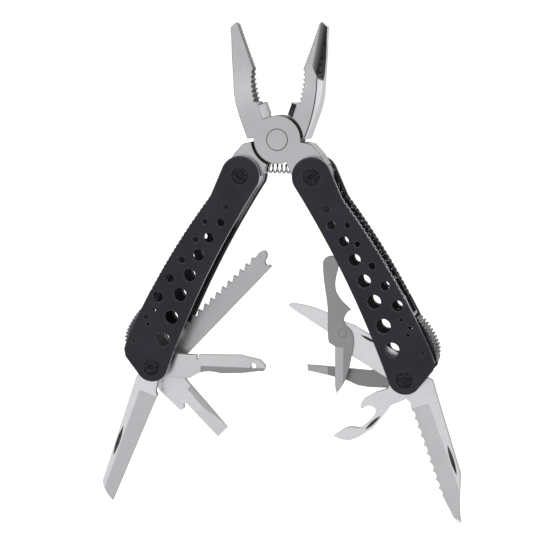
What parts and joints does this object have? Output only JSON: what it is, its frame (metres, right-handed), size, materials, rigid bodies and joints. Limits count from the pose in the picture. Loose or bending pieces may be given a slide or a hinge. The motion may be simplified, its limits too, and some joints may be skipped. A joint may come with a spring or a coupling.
{
  "type": "multi tool",
  "caption": "Folding pocket multi tool with spring-opened pliers, two perforated handles, blades, saw, reamer, drivers, scissors and bottle opener.",
  "frame": {"origin": "on the pliers' pivot axis, at the front face of the rivet", "axes": "+Z towards the jaw tips, +X to the right seen from the front, -Y out of the front face"},
  "size_m": [0.1565, 0.016, 0.2081],
  "materials": {
    "black_anodised": "satin black anodised",
    "satin_steel": "satin",
    "blade_steel": "brushed",
    "bright_steel": "bright",
    "spring_steel": "bright",
    "dark_steel": "black oxide",
    "black_screw": "black oxide",
    "washer_brass": "plain"
  },
  "bodies": {
    "pliers_rear_half": {"rear_jaw": "satin_steel", "pliers_rivet": "satin_steel", "return_spring": "spring_steel"},
    "pliers_front_half": {"front_jaw": "satin_steel"},
    "left_handle": {"left_front_scale": "black_anodised", "left_back_scale": "black_anodised", "left_front_liner": "bright_steel", "left_back_liner": "bright_steel", "left_handle_screw": "black_screw", "left_handle_nut": "black_screw", "left_handle_washers": "washer_brass", "left_tool_screw": "black_screw", "left_tool_nut": "black_screw", "left_tool_washers": "washer_brass", "left_scale_rivets": "bright_steel", "left_lock_pin": "bright_steel", "left_lock_spring": "spring_steel"},
    "left_lock": {"left_lock_lever": "dark_steel"},
    "right_handle": {"right_front_scale": "black_anodised", "right_back_scale": "black_anodised", "right_front_liner": "bright_steel", "right_back_liner": "bright_steel", "right_handle_screw": "black_screw", "right_handle_nut": "black_screw", "right_handle_washers": "washer_brass", "right_tool_screw": "black_screw", "right_tool_nut": "black_screw", "right_tool_washers": "washer_brass", "right_scale_rivets": "bright_steel", "right_lock_pin": "bright_steel", "right_lock_spring": "spring_steel"},
    "right_lock": {"right_lock_lever": "dark_steel"},
    "knife": {"knife": "blade_steel"},
    "reamer": {"reamer": "blade_steel"},
    "flat_driver": {"flat_driver": "blade_steel"},
    "saw": {"saw": "blade_steel"},
    "bottle_opener": {"bottle_opener": "blade_steel"},
    "cross_driver": {"cross_driver": "blade_steel"},
    "serrated_knife": {"serrated_knife": "blade_steel"},
    "scissors": {"scissors_body": "blade_steel", "scissors_rivet": "blade_steel"},
    "scissors_blade": {"scissors_lever": "blade_steel"}
  },
  "joints": [
    {"name": "pliers_close", "type": "hinge", "parent": "pliers_rear_half", "child": "pliers_front_half", "pos_m": [0, 0.0049, 0], "axis": [0, 1, 0], "range_deg": [-4, 39.98], "deforming": ["return_spring"]},
    {"name": "left_handle_fold", "type": "hinge", "parent": "pliers_rear_half", "child": "left_handle", "pos_m": [-0.0152, 0.0049, -0.01499], "axis": [0, 1, 0], "range_deg": [0, 168]},
    {"name": "right_handle_fold", "type": "hinge", "parent": "pliers_front_half", "child": "right_handle", "pos_m": [0.0152, 0.0049, -0.01499], "axis": [0, -1, 0], "range_deg": [0, 168]},
    {"name": "left_lock_press", "type": "hinge", "parent": "left_handle", "child": "left_lock", "pos_m": [-0.06231, 0.0049, -0.08681], "axis": [0, -1, 0], "range_deg": [-1, 3.5]},
    {"name": "right_lock_press", "type": "hinge", "parent": "right_handle", "child": "right_lock", "pos_m": [0.06231, 0.0049, -0.08681], "axis": [0, 1, 0], "range_deg": [-1, 3.5]},
    {"name": "knife_fold", "type": "hinge", "parent": "left_handle", "child": "knife", "pos_m": [-0.05481, 0.0049, -0.09803], "axis": [0, -1, 0], "range_deg": [-5, 171.5]},
    {"name": "reamer_fold", "type": "hinge", "parent": "left_handle", "child": "reamer", "pos_m": [-0.05481, 0.0049, -0.09803], "axis": [0, -1, 0], "range_deg": [-116, 61]},
    {"name": "flat_driver_fold", "type": "hinge", "parent": "left_handle", "child": "flat_driver", "pos_m": [-0.05481, 0.0049, -0.09803], "axis": [0, -1, 0], "range_deg": [-67.5, 111.5]},
    {"name": "saw_fold", "type": "hinge", "parent": "left_handle", "child": "saw", "pos_m": [-0.05481, 0.0049, -0.09803], "axis": [0, -1, 0], "range_deg": [-159, 16]},
    {"name": "scissors_fold", "type": "hinge", "parent": "right_handle", "child": "scissors", "pos_m": [0.05481, 0.0049, -0.09803], "axis": [0, 1, 0], "range_deg": [-146, 30.5]},
    {"name": "bottle_opener_fold", "type": "hinge", "parent": "right_handle", "child": "bottle_opener", "pos_m": [0.05481, 0.0049, -0.09803], "axis": [0, 1, 0], "range_deg": [-73, 106]},
    {"name": "cross_driver_fold", "type": "hinge", "parent": "right_handle", "child": "cross_driver", "pos_m": [0.05481, 0.0049, -0.09803], "axis": [0, 1, 0], "range_deg": [-114.5, 64.5]},
    {"name": "serrated_knife_fold", "type": "hinge", "parent": "right_handle", "child": "serrated_knife", "pos_m": [0.05481, 0.0049, -0.09803], "axis": [0, 1, 0], "range_deg": [-5.6, 172.2]},
    {"name": "scissors_close", "type": "hinge", "parent": "scissors", "child": "scissors_blade", "pos_m": [0.02805, 0.0049, -0.08012], "axis": [0, 1, 0], "range_deg": [0, 112]}
  ]
}
